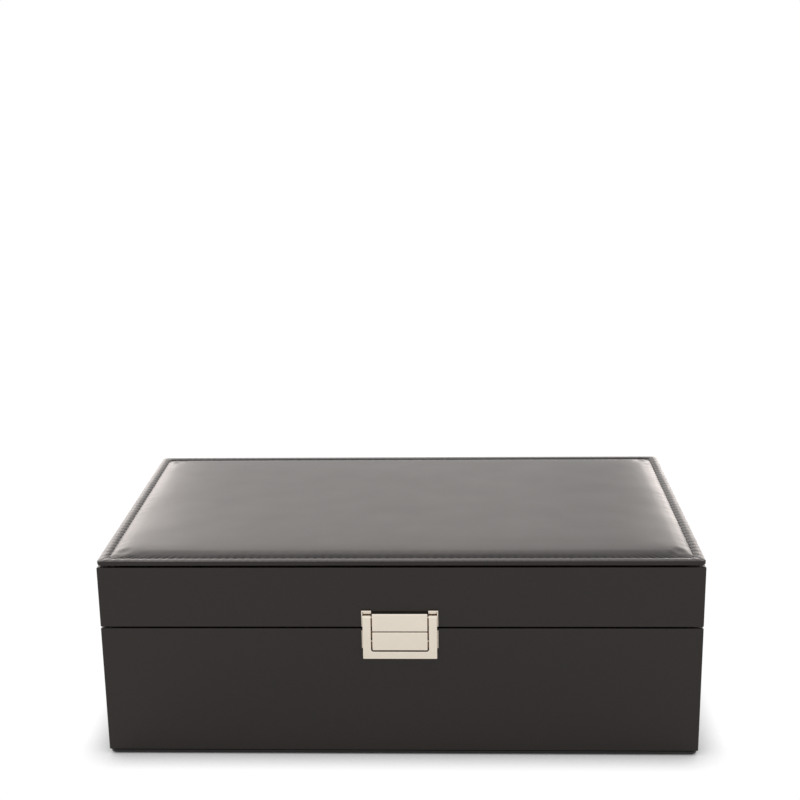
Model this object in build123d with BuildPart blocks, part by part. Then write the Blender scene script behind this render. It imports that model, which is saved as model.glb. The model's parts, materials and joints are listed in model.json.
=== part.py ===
"""Hinged jewellery box covered in black leatherette, with a padded stitched top, a swing-bail clasp,
a lined interior, a sliding inner drawer tray and a mirror in the lid.

X runs to the right, Y from the front to the back and Z up. The origin is the middle of the underside,
and the lid is shut.
"""

import os
from math import cos, radians, sin, tan

from build123d import *

# Outside of the box, over its leatherette
box_width = 280.0
box_depth = 160.0
base_wall_height = 62.55
lid_wall_height = 29.45
seam_gap = 0.7
corner_radius = 0.6
rim_radius = 0.5
foot_edge_radius = 0.3

# Leatherette skin and the boards that it covers
skin = 0.8
base_board = 6.8
lid_board = 6.0
floor_panel = 4.0
lid_panel_thickness = 5.0

# Bottom board and the suede sheet that the box stands on
suede = 0.5
suede_inset = 3.0
bottom_board_thickness = 2.0
bottom_board_inset = 0.3
bottom_corner_radius = 3.0
bottom_edge_radius = 0.7
groove_height = 0.4
groove_depth = 1.2
groove_edge_radius = 0.3

# Padded cap on the lid
cap_lift = 0.6
cap_inset = 0.15
cap_corner_radius = 2.2
cap_board_thickness = 1.6
cap_top_edge_radius = 1.1
cap_under_edge_radius = 0.9
cap_rim_width = 4.4
cap_seat_gap = 0.3
crown_height = 2.2
crown_shoulder = 12.0
crown_corner_radius = 2.0
crown_steps = 5

# Lining
liner = 2.0
lip_height = 6.0
floor_pad = 1.2
lid_liner = 1.5
lip_headroom = 1.0

# Mirror in the lid
mirror_thickness = 2.0
mirror_width = 186.0
mirror_depth = 106.0
mirror_play = 0.3
mirror_overlap = 3.0
surround_thickness = 3.5

# Runners that carry the tray, and the fixed dividers below it
runner_width = 4.0
runner_height = 4.0
divider = 2.0
divider_headroom = 1.6
left_divider_y = -6.0
right_divider_x = 65.0

# Sliding tray
tray_width = 129.6
tray_height = 24.0
tray_wall = 2.4
tray_floor_thickness = 2.4
tray_side_play = 0.5
tray_end_play = 0.4
tray_lift = 0.1
tray_drop = 2.0
tray_divider = 1.6
tray_divider_height = 16.0
tray_long_divider_y = 4.0
tray_compartments = 3
roll_count = 4
roll_gap = 0.4
roll_height = 15.0
roll_crown = 7.0
roll_play = 0.4
tab_width = 14.0
tab_thickness = 1.2
tab_height = 18.0
tab_glued_height = 10.0
tab_corner_radius = 4.0
tab_setback = 2.0

# Stop hinges
hinge_spread = 170.0
hinge_length = 26.0
knuckle_radius = 2.2
knuckle_middle = 9.8
knuckle_gap = 0.2
barrel_clearance = 0.2
leaf_thickness = 1.0
leaf_reach = 5.8
leaf_play = 0.1
hinge_pin_radius = 0.8
running_clearance = 0.05
stop_reach = 1.6
lid_opening = 95.0
stop_margin = 0.5
stop_span = 32.0

# Countersunk screws
screw_head_angle = 90
hinge_screw_radius = 0.9
hinge_screw_head = 1.7
hinge_screw_length = 8.0
hinge_screw_spread = 16.0
hinge_screw_y = 77.2
plate_screw_radius = 0.7
plate_screw_head = 1.3
plate_screw_length = 6.0
driver_slot = 0.35
driver_slot_depth = 0.4

# Clasp
clasp_width = 34.5
clasp_arm_width = 3.85
clasp_block_width = 25.7
clasp_flange = 0.8
clasp_proud = 2.8
block_gap = 0.35
block_gap_drop = 0.9
upper_block_height = 7.9
lower_block_height = 9.1
block_edge_radius = 0.35
block_extra = 0.75
block_top_bevel = 0.4
block_corner_radius = 0.4
flange_setback = 0.6
flange_inset = 0.4
bail_play = 0.2
bail_bar_gap = 0.6
bail_bar_height = 3.65
bail_inner_radius = 1.1
bail_outer_radius = 0.4
bail_edge_radius = 0.25
pivot_drop = 1.0
pivot_radius = 0.5
pivot_depth = 2.0
upper_screw_rise = 2.4
hood_rise = 2.0
hood_thickness = 0.6
hood_side_gap = 0.4
hood_reach = 1.4
cheek = 0.4
cheek_play = 0.1
cheek_height = 1.9
nub_radius = 0.6
nub_tip_radius = 0.4
nub_reach = 1.0
dimple_play = 0.1

# Levels, from the floor up
base_bottom = suede + bottom_board_thickness
base_rim = base_bottom + base_wall_height
seam_middle = base_rim + seam_gap / 2
lid_rim = base_rim + seam_gap
lid_top = lid_rim + lid_wall_height
cap_under = lid_top + cap_lift
cap_board_top = cap_under + cap_board_thickness
cap_rim_top = cap_board_top + skin
floor_top = base_bottom + floor_panel
pad_top = floor_top + floor_pad
lip_top = base_rim + lip_height
tray_top = lip_top - tray_drop
tray_bottom = tray_top - tray_height
tray_floor_top = tray_bottom + tray_floor_thickness
tray_divider_top = tray_floor_top + tray_divider_height
runner_level = tray_bottom - tray_lift
divider_top = runner_level - runner_height - divider_headroom
panel_under = cap_under - lid_panel_thickness
mirror_under = panel_under - mirror_thickness
surround_under = panel_under - surround_thickness

# Half sizes in plan
half_width = box_width / 2
half_depth = box_depth / 2
board_x = half_width - skin
board_y = half_depth - skin
base_inner_x = board_x - base_board
base_inner_y = board_y - base_board
lid_inner_x = board_x - lid_board
lid_inner_y = board_y - lid_board
room_x = base_inner_x - liner
room_y = base_inner_y - liner
lid_room_x = lid_inner_x - lid_liner
lid_room_y = lid_inner_y - lid_liner
cap_x = half_width - cap_inset
cap_y = half_depth - cap_inset

# Hinge line and clasp places
hinge_y = half_depth + barrel_clearance + knuckle_radius
hinge_z = seam_middle
leaf_front_y = half_depth - leaf_reach
flange_y = -half_depth - clasp_flange
face_y = -half_depth - clasp_proud
gap_level = seam_middle - block_gap_drop
upper_block_bottom = gap_level + block_gap / 2
upper_block_top = upper_block_bottom + upper_block_height
block_top = upper_block_top + block_extra
lower_block_top = gap_level - block_gap / 2
lower_block_bottom = lower_block_top - lower_block_height
arm_thickness = clasp_proud - clasp_flange - bail_play
pivot_y = face_y + arm_thickness / 2
pivot_z = upper_block_top - pivot_drop
block_x = clasp_block_width / 2
bail_x = clasp_width / 2
arm_inner_x = bail_x - clasp_arm_width
arm_middle_x = bail_x - clasp_arm_width / 2
flange_x = bail_x + cheek_play + cheek
hood_front = -half_depth - hood_reach
hood_top = upper_block_top + hood_rise
flange_top = upper_block_top - flange_inset
bail_inner_bottom = lower_block_bottom - bail_bar_gap
bail_bottom = bail_inner_bottom - bail_bar_height
upper_screw_z = lid_rim + upper_screw_rise
lower_screw_z = (lower_block_bottom + lower_block_top) / 2

# Tray places
tray_right_x = room_x - tray_end_play
tray_left_x = tray_right_x - tray_width
tray_y = room_y - tray_side_play
tray_inner_left = tray_left_x + tray_wall
tray_inner_right = tray_right_x - tray_wall
tray_inner_width = tray_inner_right - tray_inner_left
tray_inner_y = tray_y - tray_wall
tray_divider_front = tray_long_divider_y - tray_divider / 2
tray_divider_back = tray_long_divider_y + tray_divider / 2


def block(x_span, y_span, z_span, mode=Mode.ADD):
    """A rectangular block between the given limits, in the piece being made."""
    spans = (x_span, y_span, z_span)
    middle = tuple((low + high) / 2 for low, high in spans)
    with Locations(middle):
        Box(*[high - low for low, high in spans], mode=mode)


def hinge_places():
    """The middle of each hinge along X."""
    return (-hinge_spread / 2, hinge_spread / 2)


def hinge_screw_places():
    """The X of every hinge screw in one leaf row."""
    return [
        place + side * hinge_screw_spread / 2
        for place in hinge_places()
        for side in (-1, 1)
    ]


def cut_leaf_seats(face_z, side):
    """Room for the hinge leaves in a rim: side is 1 for the lid, above the seam, and -1 for the base."""
    for place in hinge_places():
        reach = hinge_length / 2 + leaf_play
        depth = sorted((face_z, face_z + side * leaf_thickness))
        block(
            (place - reach, place + reach),
            (leaf_front_y - leaf_play, half_depth),
            depth,
            Mode.SUBTRACT,
        )


def cut_hinge_screw_holes(face_z, side):
    """Pilot holes for the hinge screws, running up from the lid's rim or down from the base's."""
    middle_z = face_z + side * hinge_screw_length / 2
    with Locations(
        *[(x, hinge_screw_y, middle_z) for x in hinge_screw_places()]
    ):
        Cylinder(hinge_screw_radius, hinge_screw_length, mode=Mode.SUBTRACT)


def cut_plate_screw_holes(level):
    """Pilot holes for the two screws of a clasp plate, running back from the plate's face."""
    middle_y = flange_y + plate_screw_length / 2
    with Locations(
        *[
            Location((side * arm_middle_x, middle_y, level), (90, 0, 0))
            for side in (-1, 1)
        ]
    ):
        Cylinder(plate_screw_radius, plate_screw_length, mode=Mode.SUBTRACT)


def screw(place, radius, head_radius, length):
    """A countersunk screw whose head is flush with the place's XY plane, and which runs down its -Z."""
    head_depth = (head_radius - radius) / tan(radians(screw_head_angle / 2))
    upright = Plane(place.origin, x_dir=place.x_dir, z_dir=-place.y_dir)
    with BuildSketch(upright) as half_section:
        with BuildLine():
            Polyline(
                (0, 0),
                (head_radius, 0),
                (radius, -head_depth),
                (radius, radius - length),
                (0, -length),
                close=True,
            )
        make_face()
    revolve(half_section.sketch, axis=Axis(place.origin, place.z_dir))
    with Locations(place.offset(-driver_slot_depth / 2)):
        Box(head_radius, driver_slot, driver_slot_depth, mode=Mode.SUBTRACT)
        Box(driver_slot, head_radius, driver_slot_depth, mode=Mode.SUBTRACT)


def write(piece, label):
    """Names a finished piece and writes it as its own file."""
    piece.part.label = label
    export_step(piece.part, f"parts/{label}.step")


os.makedirs("parts", exist_ok=True)

# Boards of the base

for label, side in (("base_front_board", -1), ("base_back_board", 1)):
    with BuildPart() as base_long_board:
        block(
            (-board_x, board_x),
            sorted((side * base_inner_y, side * board_y)),
            (base_bottom, base_rim - skin),
        )
        if side == 1:
            cut_leaf_seats(base_rim, -1)
            cut_hinge_screw_holes(base_rim, -1)
        else:
            cut_plate_screw_holes(lower_screw_z)
    write(base_long_board, label)

for label, side in (("base_left_board", -1), ("base_right_board", 1)):
    with BuildPart() as base_end_board:
        block(
            sorted((side * base_inner_x, side * board_x)),
            (-base_inner_y, base_inner_y),
            (base_bottom, base_rim - skin),
        )
    write(base_end_board, label)

with BuildPart() as base_floor_panel:
    block(
        (-base_inner_x, base_inner_x),
        (-base_inner_y, base_inner_y),
        (base_bottom, floor_top),
    )
write(base_floor_panel, "base_floor_panel")

# Leatherette of the base, turned in over the rim

with BuildPart() as base_wrap:
    with BuildSketch(Plane.XY.offset(base_bottom)):
        RectangleRounded(box_width, box_depth, corner_radius)
    extrude(amount=base_wall_height)
    fillet(base_wrap.faces().sort_by(Axis.Z)[-1].edges(), rim_radius)
    fillet(base_wrap.faces().sort_by(Axis.Z)[0].edges(), foot_edge_radius)
    block(
        (-board_x, board_x),
        (-board_y, board_y),
        (base_bottom, base_rim - skin),
        Mode.SUBTRACT,
    )
    block(
        (-base_inner_x, base_inner_x),
        (-base_inner_y, base_inner_y),
        (base_rim - skin, base_rim),
        Mode.SUBTRACT,
    )
    cut_leaf_seats(base_rim, -1)
    cut_hinge_screw_holes(base_rim, -1)
    cut_plate_screw_holes(lower_screw_z)
write(base_wrap, "base_wrap")

# Bottom board and suede sheet

with BuildPart() as bottom_board:
    with BuildSketch(Plane.XY.offset(suede)):
        RectangleRounded(
            box_width - 2 * bottom_board_inset,
            box_depth - 2 * bottom_board_inset,
            bottom_corner_radius,
        )
    extrude(amount=bottom_board_thickness - groove_height)
    fillet(bottom_board.faces().sort_by(Axis.Z)[-1].edges(), groove_edge_radius)
    fillet(bottom_board.faces().sort_by(Axis.Z)[0].edges(), bottom_edge_radius)
    block(
        (groove_depth - half_width, half_width - groove_depth),
        (groove_depth - half_depth, half_depth - groove_depth),
        (base_bottom - groove_height, base_bottom),
    )
write(bottom_board, "bottom_board")

with BuildPart() as bottom_suede:
    with BuildSketch():
        RectangleRounded(
            box_width - 2 * suede_inset, box_depth - 2 * suede_inset, corner_radius
        )
    extrude(amount=suede)
write(bottom_suede, "bottom_suede")

# Velvet lining of the base, which stands above the rim as the lid's locating lip

for label, side in (("liner_front", -1), ("liner_back", 1)):
    with BuildPart() as long_liner:
        block(
            (-base_inner_x, base_inner_x),
            sorted((side * room_y, side * base_inner_y)),
            (floor_top, lip_top),
        )
        rim_edges = long_liner.faces().sort_by(Axis.Z)[-1].edges().filter_by(Axis.X)
        fillet(rim_edges, liner / 2 - 0.1)
    write(long_liner, label)

for label, side in (("liner_left", -1), ("liner_right", 1)):
    with BuildPart() as end_liner:
        block(
            sorted((side * room_x, side * base_inner_x)),
            (-room_y, room_y),
            (floor_top, lip_top),
        )
        rim_edges = end_liner.faces().sort_by(Axis.Z)[-1].edges().filter_by(Axis.Y)
        fillet(rim_edges, liner / 2 - 0.1)
    write(end_liner, label)

with BuildPart() as floor_lining:
    block((-room_x, room_x), (-room_y, room_y), (floor_top, pad_top))
write(floor_lining, "floor_lining")

# Runners and fixed dividers

for label, side in (("front_runner", -1), ("back_runner", 1)):
    with BuildPart() as runner:
        block(
            (-room_x, room_x),
            sorted((side * (room_y - runner_width), side * room_y)),
            (runner_level - runner_height, runner_level),
        )
    write(runner, label)

with BuildPart() as lower_cross_divider:
    block(
        (-divider / 2, divider / 2), (-room_y, room_y), (pad_top, divider_top)
    )
write(lower_cross_divider, "lower_cross_divider")

with BuildPart() as lower_left_divider:
    block(
        (-room_x, -divider / 2),
        (left_divider_y - divider / 2, left_divider_y + divider / 2),
        (pad_top, divider_top),
    )
write(lower_left_divider, "lower_left_divider")

with BuildPart() as lower_right_divider:
    block(
        (right_divider_x - divider / 2, right_divider_x + divider / 2),
        (-room_y, room_y),
        (pad_top, divider_top),
    )
write(lower_right_divider, "lower_right_divider")

# Boards of the lid

for label, side in (("lid_front_board", -1), ("lid_back_board", 1)):
    with BuildPart() as lid_long_board:
        block(
            (-board_x, board_x),
            sorted((side * lid_inner_y, side * board_y)),
            (lid_rim + skin, lid_top - skin),
        )
        if side == 1:
            cut_leaf_seats(lid_rim, 1)
            cut_hinge_screw_holes(lid_rim, 1)
        else:
            cut_plate_screw_holes(upper_screw_z)
    write(lid_long_board, label)

for label, side in (("lid_left_board", -1), ("lid_right_board", 1)):
    with BuildPart() as lid_end_board:
        block(
            sorted((side * lid_inner_x, side * board_x)),
            (-lid_inner_y, lid_inner_y),
            (lid_rim + skin, lid_top - skin),
        )
    write(lid_end_board, label)

with BuildPart() as lid_panel:
    block(
        (-lid_inner_x, lid_inner_x),
        (-lid_inner_y, lid_inner_y),
        (panel_under, cap_under),
    )
write(lid_panel, "lid_panel")

# Leatherette of the lid, turned in over both of its rims

with BuildPart() as lid_wrap:
    with BuildSketch(Plane.XY.offset(lid_rim)):
        RectangleRounded(box_width, box_depth, corner_radius)
    extrude(amount=lid_wall_height)
    fillet(lid_wrap.faces().sort_by(Axis.Z)[-1].edges(), rim_radius)
    fillet(lid_wrap.faces().sort_by(Axis.Z)[0].edges(), rim_radius)
    block(
        (-board_x, board_x),
        (-board_y, board_y),
        (lid_rim + skin, lid_top - skin),
        Mode.SUBTRACT,
    )
    block(
        (-lid_inner_x, lid_inner_x),
        (-lid_inner_y, lid_inner_y),
        (lid_rim, lid_top),
        Mode.SUBTRACT,
    )
    cut_leaf_seats(lid_rim, 1)
    cut_hinge_screw_holes(lid_rim, 1)
    cut_plate_screw_holes(upper_screw_z)
write(lid_wrap, "lid_wrap")

# Lining of the lid

for label, side in (("lid_liner_front", -1), ("lid_liner_back", 1)):
    with BuildPart() as lid_long_liner:
        block(
            (-lid_inner_x, lid_inner_x),
            sorted((side * lid_room_y, side * lid_inner_y)),
            (lip_top + lip_headroom, panel_under),
        )
    write(lid_long_liner, label)

for label, side in (("lid_liner_left", -1), ("lid_liner_right", 1)):
    with BuildPart() as lid_end_liner:
        block(
            sorted((side * lid_room_x, side * lid_inner_x)),
            (-lid_room_y, lid_room_y),
            (lip_top + lip_headroom, panel_under),
        )
    write(lid_end_liner, label)

# Mirror, held against the lid's panel by a rebated surround

with BuildPart() as mirror_glass:
    with BuildSketch(Plane.XY.offset(mirror_under)):
        Rectangle(mirror_width, mirror_depth)
    extrude(amount=mirror_thickness)
write(mirror_glass, "mirror_glass")

with BuildPart() as mirror_surround:
    with BuildSketch(Plane.XY.offset(surround_under)):
        Rectangle(2 * lid_room_x, 2 * lid_room_y)
        Rectangle(
            mirror_width - 2 * mirror_overlap,
            mirror_depth - 2 * mirror_overlap,
            mode=Mode.SUBTRACT,
        )
    extrude(amount=surround_thickness)
    with BuildSketch(Plane.XY.offset(mirror_under)):
        Rectangle(mirror_width + 2 * mirror_play, mirror_depth + 2 * mirror_play)
    extrude(amount=mirror_thickness, mode=Mode.SUBTRACT)
write(mirror_surround, "mirror_surround")


# Padded cap: a board with foam on it, under one stitched leatherette cover


def crown(base_x, base_y, base_z, height, shoulder, corner):
    """A pad's crown: rounded rectangles that draw in and rise along a quarter of an ellipse."""
    sections = []
    for step in range(crown_steps + 1):
        angle = radians(90 * step / crown_steps)
        drawn_in = shoulder * (1 - cos(angle))
        with BuildSketch(Plane.XY.offset(base_z + height * sin(angle))) as section:
            RectangleRounded(
                2 * (base_x - drawn_in), 2 * (base_y - drawn_in), corner + drawn_in / 2
            )
        sections.append(section.sketch)
    loft(sections)


with BuildPart() as cap_board:
    block(
        (-lid_inner_x + cap_seat_gap, lid_inner_x - cap_seat_gap),
        (-lid_inner_y + cap_seat_gap, lid_inner_y - cap_seat_gap),
        (cap_under, cap_board_top),
    )
    block(
        (-cap_x + skin, cap_x - skin),
        (-cap_y + skin, cap_y - skin),
        (cap_under + skin, cap_board_top),
    )
write(cap_board, "cap_board")

with BuildPart() as cap_foam:
    crown(
        cap_x - cap_rim_width - skin,
        cap_y - cap_rim_width - skin,
        cap_board_top,
        crown_height,
        crown_shoulder,
        crown_corner_radius,
    )
write(cap_foam, "cap_foam")

with BuildPart() as cap_cover:
    with BuildSketch(Plane.XY.offset(cap_under)):
        RectangleRounded(2 * cap_x, 2 * cap_y, cap_corner_radius)
    extrude(amount=cap_rim_top - cap_under)
    fillet(cap_cover.faces().sort_by(Axis.Z)[-1].edges(), cap_top_edge_radius)
    fillet(cap_cover.faces().sort_by(Axis.Z)[0].edges(), cap_under_edge_radius)
    crown(
        cap_x - cap_rim_width,
        cap_y - cap_rim_width,
        cap_rim_top,
        crown_height,
        crown_shoulder,
        crown_corner_radius,
    )
    add(cap_board.part, mode=Mode.SUBTRACT)
    add(cap_foam.part, mode=Mode.SUBTRACT)
write(cap_cover, "cap_cover")


# Stop hinges: two leaves let into the rims, a barrel behind the seam and a stop wedge on each leaf


def stop_wedge(x_low, x_high, inner_radius, side):
    """A wedge behind the barrel. The lid's and the base's meet face to face when the lid is open."""
    face_angle = radians(side * (lid_opening + stop_margin) / 2)
    back_angle = face_angle + radians(side * stop_span)
    outer_radius = knuckle_radius + barrel_clearance + stop_reach
    reach = 2 * outer_radius
    with BuildSketch(Plane.YZ.offset(x_low)) as wedge:
        with Locations((hinge_y, hinge_z)):
            Circle(outer_radius)
            Circle(inner_radius, mode=Mode.SUBTRACT)
            Polygon(
                (0, 0),
                (reach * cos(face_angle), reach * sin(face_angle)),
                (reach * cos(back_angle), reach * sin(back_angle)),
                align=None,
                mode=Mode.INTERSECT,
            )
    extrude(wedge.sketch, amount=x_high - x_low)


def hinge_leaf(place, side):
    """One leaf: side is 1 for the lid's middle knuckle, and -1 for the base's outer two."""
    half = hinge_length / 2
    middle = knuckle_middle / 2
    face_z = lid_rim if side == 1 else base_rim
    thickness = sorted((face_z, face_z + side * leaf_thickness))
    bore = hinge_pin_radius + (running_clearance if side == 1 else 0)
    if side == 1:
        knuckles = [(-middle, middle)]
    else:
        knuckles = [(-half, -middle - knuckle_gap), (middle + knuckle_gap, half)]
    with BuildPart() as leaf:
        block(
            (place - half, place + half),
            (leaf_front_y, hinge_y - knuckle_radius - barrel_clearance),
            thickness,
        )
        stop_wedge(place - half, place + half, knuckle_radius + barrel_clearance, side)
        for low, high in knuckles:
            block((place + low, place + high), (leaf_front_y, hinge_y), thickness)
            stop_wedge(place + low, place + high, hinge_pin_radius, side)
            with BuildSketch(Plane.YZ.offset(place + low)):
                with Locations((hinge_y, hinge_z)):
                    Circle(knuckle_radius)
            extrude(amount=high - low)
        with BuildSketch(Plane.YZ.offset(place - half)):
            with Locations((hinge_y, hinge_z)):
                Circle(bore)
        extrude(amount=hinge_length, mode=Mode.SUBTRACT)
        with Locations(
            *[
                Plane(
                    origin=(place + end * hinge_screw_spread / 2, hinge_screw_y, face_z),
                    z_dir=(0, 0, -side),
                )
                for end in (-1, 1)
            ]
        ):
            CounterSinkHole(
                hinge_screw_radius, hinge_screw_head, leaf_thickness, screw_head_angle
            )
    return leaf


for label, side in (("base", -1), ("lid", 1)):
    face_z = lid_rim if side == 1 else base_rim
    for hand, place in zip(("left", "right"), hinge_places()):
        write(hinge_leaf(place, side), f"{hand}_hinge_{label}_leaf")
    with BuildPart() as hinge_screws:
        for x in hinge_screw_places():
            origin = (x, hinge_screw_y, face_z)
            screw(
                Plane(origin=origin, z_dir=(0, 0, -side)),
                hinge_screw_radius,
                hinge_screw_head,
                hinge_screw_length,
            )
    write(hinge_screws, f"hinge_{label}_screws")

for hand, place in zip(("left", "right"), hinge_places()):
    with BuildPart() as hinge_pin:
        with BuildSketch(Plane.YZ.offset(place - hinge_length / 2)):
            with Locations((hinge_y, hinge_z)):
                Circle(hinge_pin_radius)
        extrude(amount=hinge_length)
        chamfer(hinge_pin.edges(), hinge_pin_radius / 4)
    write(hinge_pin, f"{hand}_hinge_pin")


# Clasp: a plate on the lid, a plate on the base, and a bail that swings over both


def clasp_block(plate, z_low, z_high):
    """The raised middle of a clasp plate, with softened edges."""
    with BuildSketch(Plane.XZ.offset(-flange_y)) as outline:
        with Locations((0, (z_low + z_high) / 2)):
            RectangleRounded(clasp_block_width, z_high - z_low, block_corner_radius)
    extrude(outline.sketch, amount=flange_y - face_y)
    fillet(plate.faces().sort_by(Axis.Y)[0].edges(), block_edge_radius)


def pivot_rod(x_low, x_high, radius, mode=Mode.ADD):
    """A round bar, or with Mode.SUBTRACT a hole, along the bail's pivot line."""
    with BuildSketch(Plane.YZ.offset(x_low)) as section:
        with Locations((pivot_y, pivot_z)):
            Circle(radius)
    extrude(section.sketch, amount=x_high - x_low, mode=mode)


def pivot_ends():
    """Where the two pivot pins lie along X: through an arm and into a blind hole in the block."""
    return ((-bail_x, pivot_depth - block_x), (block_x - pivot_depth, bail_x))


def detent_nubs(play=0, mode=Mode.ADD):
    """The nubs on the strike block's ends that the bail's arms click over, or with play their dimples."""
    with Locations(
        *[
            Location((side * block_x, pivot_y, lower_screw_z), (0, side * 90, 0))
            for side in (-1, 1)
        ]
    ):
        Cone(
            nub_radius + play,
            nub_tip_radius + play,
            nub_reach + play,
            align=(Align.CENTER, Align.CENTER, Align.MIN),
            mode=mode,
        )


def plate_screw_planes(level):
    """Where the heads of a clasp plate's screws lie, facing forward."""
    return [
        Plane(origin=(side * arm_middle_x, flange_y, level), z_dir=(0, -1, 0))
        for side in (-1, 1)
    ]


with BuildPart() as clasp_lid_plate:
    block(
        (-flange_x, flange_x),
        (flange_y, -half_depth),
        (lid_rim + flange_setback, flange_top),
    )
    clasp_block(clasp_lid_plate, upper_block_bottom, block_top)
    with BuildSketch(Plane.YZ.offset(-clasp_block_width)) as top_bevel:
        with BuildLine():
            Polyline(
                (face_y - block_top_bevel, block_top),
                (face_y, block_top - block_top_bevel),
                (face_y + block_top_bevel, block_top),
                (face_y, block_top + block_top_bevel),
                close=True,
            )
        make_face()
    extrude(top_bevel.sketch, amount=2 * clasp_block_width, mode=Mode.SUBTRACT)
    for side in (-1, 1):
        hood_x = sorted((side * (block_x + hood_side_gap), side * flange_x))
        cheek_x = sorted((side * (flange_x - cheek), side * flange_x))
        block(hood_x, (flange_y, -half_depth), (flange_top, hood_top))
        block(hood_x, (hood_front, flange_y), (hood_top - hood_thickness, hood_top))
        block(cheek_x, (hood_front, flange_y), (hood_top - cheek_height, hood_top))
    for low, high in pivot_ends():
        pivot_rod(low, high, pivot_radius, Mode.SUBTRACT)
    with Locations(*plate_screw_planes(upper_screw_z)):
        CounterSinkHole(
            plate_screw_radius, plate_screw_head, clasp_flange, screw_head_angle
        )
write(clasp_lid_plate, "clasp_lid_plate")

with BuildPart() as clasp_strike_plate:
    block(
        (-flange_x, flange_x),
        (flange_y, -half_depth),
        (lower_block_bottom + flange_inset, base_rim - flange_setback),
    )
    clasp_block(clasp_strike_plate, lower_block_bottom, lower_block_top)
    detent_nubs()
    with Locations(*plate_screw_planes(lower_screw_z)):
        CounterSinkHole(
            plate_screw_radius, plate_screw_head, clasp_flange, screw_head_angle
        )
write(clasp_strike_plate, "clasp_strike_plate")

for label, level in (
    ("clasp_lid_screws", upper_screw_z),
    ("clasp_strike_screws", lower_screw_z),
):
    with BuildPart() as plate_screws:
        for place in plate_screw_planes(level):
            screw(place, plate_screw_radius, plate_screw_head, plate_screw_length)
    write(plate_screws, label)

with BuildPart() as clasp_pivot_pins:
    for low, high in pivot_ends():
        pivot_rod(low, high, pivot_radius)
write(clasp_pivot_pins, "clasp_pivot_pins")

with BuildPart() as clasp_bail:
    with BuildSketch(Plane.XZ.offset(-face_y - arm_thickness)):
        with Locations((0, (bail_bottom + pivot_z) / 2)):
            RectangleRounded(clasp_width, pivot_z - bail_bottom, bail_outer_radius)
        with Locations((0, bail_inner_bottom + clasp_width / 2)):
            RectangleRounded(
                2 * arm_inner_x, clasp_width, bail_inner_radius, mode=Mode.SUBTRACT
            )
    extrude(amount=arm_thickness)
    fillet(clasp_bail.faces().sort_by(Axis.Y)[0].edges(), bail_edge_radius)
    for low, high in ((-bail_x, -arm_inner_x), (arm_inner_x, bail_x)):
        pivot_rod(low, high, arm_thickness / 2)
    pivot_rod(-bail_x, bail_x, pivot_radius + running_clearance, Mode.SUBTRACT)
    detent_nubs(dimple_play, Mode.SUBTRACT)
write(clasp_bail, "clasp_bail")

# Sliding tray

for label, side in (("tray_front_wall", -1), ("tray_back_wall", 1)):
    with BuildPart() as tray_long_wall:
        block(
            (tray_left_x, tray_right_x),
            sorted((side * tray_inner_y, side * tray_y)),
            (tray_bottom, tray_top),
        )
    write(tray_long_wall, label)

for label, x_span in (
    ("tray_left_wall", (tray_left_x, tray_inner_left)),
    ("tray_right_wall", (tray_inner_right, tray_right_x)),
):
    with BuildPart() as tray_end_wall:
        block(x_span, (-tray_inner_y, tray_inner_y), (tray_bottom, tray_top))
    write(tray_end_wall, label)

with BuildPart() as tray_floor:
    block(
        (tray_inner_left, tray_inner_right),
        (-tray_inner_y, tray_inner_y),
        (tray_bottom, tray_floor_top),
    )
write(tray_floor, "tray_floor")

with BuildPart() as tray_long_divider:
    block(
        (tray_inner_left, tray_inner_right),
        (tray_divider_front, tray_divider_back),
        (tray_floor_top, tray_divider_top),
    )
write(tray_long_divider, "tray_long_divider")

with BuildPart() as tray_cross_dividers:
    for number in range(1, tray_compartments):
        middle_x = tray_inner_left + tray_inner_width * number / tray_compartments
        block(
            (middle_x - tray_divider / 2, middle_x + tray_divider / 2),
            (-tray_inner_y, tray_divider_front),
            (tray_floor_top, tray_divider_top),
        )
write(tray_cross_dividers, "tray_cross_dividers")

# Ring rolls: padded bars side by side, which grip rings between them

with BuildPart() as tray_ring_rolls:
    bay = tray_inner_y - tray_divider_back - 2 * roll_play
    roll_width = (bay - (roll_count - 1) * roll_gap) / roll_count
    shoulder_z = tray_floor_top + roll_height - roll_crown
    for number in range(roll_count):
        front_y = tray_divider_back + roll_play + number * (roll_width + roll_gap)
        back_y = front_y + roll_width
        with BuildSketch(Plane.YZ.offset(tray_inner_left + roll_play)):
            with BuildLine():
                Polyline(
                    (front_y, shoulder_z),
                    (front_y, tray_floor_top),
                    (back_y, tray_floor_top),
                    (back_y, shoulder_z),
                )
                ThreePointArc(
                    (back_y, shoulder_z),
                    ((front_y + back_y) / 2, tray_floor_top + roll_height),
                    (front_y, shoulder_z),
                )
            make_face()
        extrude(amount=tray_inner_width - 2 * roll_play)
write(tray_ring_rolls, "tray_ring_rolls")

# Pull tab, glued inside the tray's free end

with BuildPart() as tray_pull_tab:
    tab_y = (tray_divider_front - tab_width, tray_divider_front)
    tab_bottom = tray_top - tab_glued_height
    block(
        (tray_inner_left, tray_inner_left + tab_thickness),
        (tab_y[0] - tab_setback, tab_y[1] - tab_setback),
        (tab_bottom, tab_bottom + tab_height),
    )
    fillet(
        tray_pull_tab.edges().filter_by(Axis.X).group_by(Axis.Z)[-1], tab_corner_radius
    )
write(tray_pull_tab, "tray_pull_tab")
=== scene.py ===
"""Looks of a black leatherette jewellery box with a padded, stitched top and a swing-bail clasp.

It is laid out as a Blender 4.5 add-on and run as a script. Lengths are in metres, in the frame of
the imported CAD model: X to the right, Y from the front to the back and Z up, with the lid shut and
the box standing on Z = 0.
"""

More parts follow.
